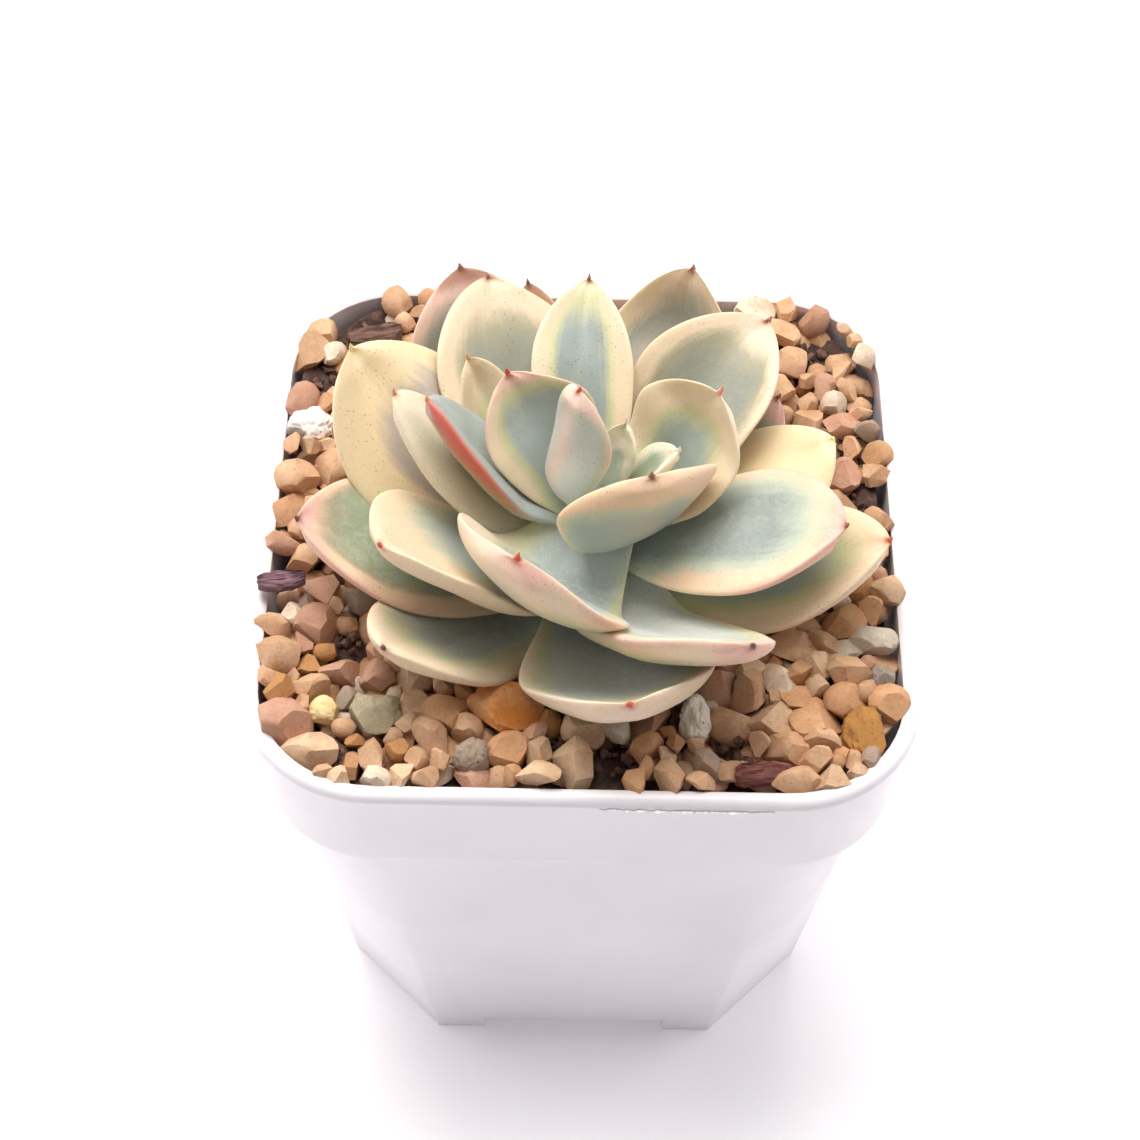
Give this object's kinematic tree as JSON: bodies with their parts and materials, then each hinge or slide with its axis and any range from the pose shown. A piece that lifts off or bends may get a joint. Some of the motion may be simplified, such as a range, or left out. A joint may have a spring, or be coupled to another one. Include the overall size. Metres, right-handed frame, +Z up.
{
  "type": "potted succulent",
  "caption": "Variegated echeveria rosette growing in gravel in a square tapered plastic nursery pot.",
  "frame": {"origin": "middle of the pot's foot plane, under the pot's centre", "axes": "+Z up, -Y towards the plant's front, +X to the right seen from the front"},
  "size_m": [0.07, 0.07, 0.0909],
  "materials": {
    "pot_plastic": "satin white moulded plastic, faintly lavender in shade",
    "soil": "dark brown crumbly potting mix",
    "gravel": "matt tan baked-clay and stone grit",
    "stem": "green fleshy stem",
    "leaf": "waxy blue-green leaf with cream and pink margins",
    "stone_orange": "matt rough stone",
    "stone_pumice": "matt rough stone",
    "stone_speckled": "matt rough stone",
    "stone_grey": "matt rough stone",
    "stone_brown": "matt rough stone",
    "stone_knobbly": "matt rough stone",
    "stone_pale": "matt rough stone",
    "stone_tan": "matt rough stone",
    "stone_ash": "matt rough stone",
    "stone_straw": "matt rough stone",
    "bark_purple": "dark fibrous bark",
    "bark_maroon": "dark fibrous bark",
    "bark_brown": "dark fibrous bark"
  },
  "bodies": {
    "root": {"pot": "pot_plastic", "soil": "soil", "gravel_bed": "gravel", "stem": "stem", "leaf_heart_a": "leaf", "leaf_heart_b": "leaf", "leaf_heart_c": "leaf", "leaf_inner_a": "leaf", "leaf_inner_b": "leaf", "leaf_inner_c": "leaf", "leaf_inner_d": "leaf", "leaf_inner_e": "leaf", "leaf_inner_f": "leaf", "leaf_inner_g": "leaf", "leaf_middle_a": "leaf", "leaf_middle_b": "leaf", "leaf_middle_c": "leaf", "leaf_middle_d": "leaf", "leaf_middle_e": "leaf", "leaf_middle_f": "leaf", "leaf_middle_g": "leaf", "leaf_outer_a": "leaf", "leaf_outer_b": "leaf", "leaf_outer_c": "leaf", "leaf_outer_d": "leaf", "leaf_outer_e": "leaf", "leaf_outer_f": "leaf", "leaf_outer_g": "leaf", "leaf_outer_h": "leaf", "leaf_outer_i": "leaf", "stone_orange": "stone_orange", "stone_pumice": "stone_pumice", "stone_speckled": "stone_speckled", "stone_grey": "stone_grey", "stone_brown": "stone_brown", "stone_knobbly": "stone_knobbly", "stone_pale": "stone_pale", "stone_tan": "stone_tan", "stone_ash": "stone_ash", "stone_straw": "stone_straw", "bark_purple": "bark_purple", "bark_maroon": "bark_maroon", "bark_brown": "bark_brown"}
  },
  "joints": []
}
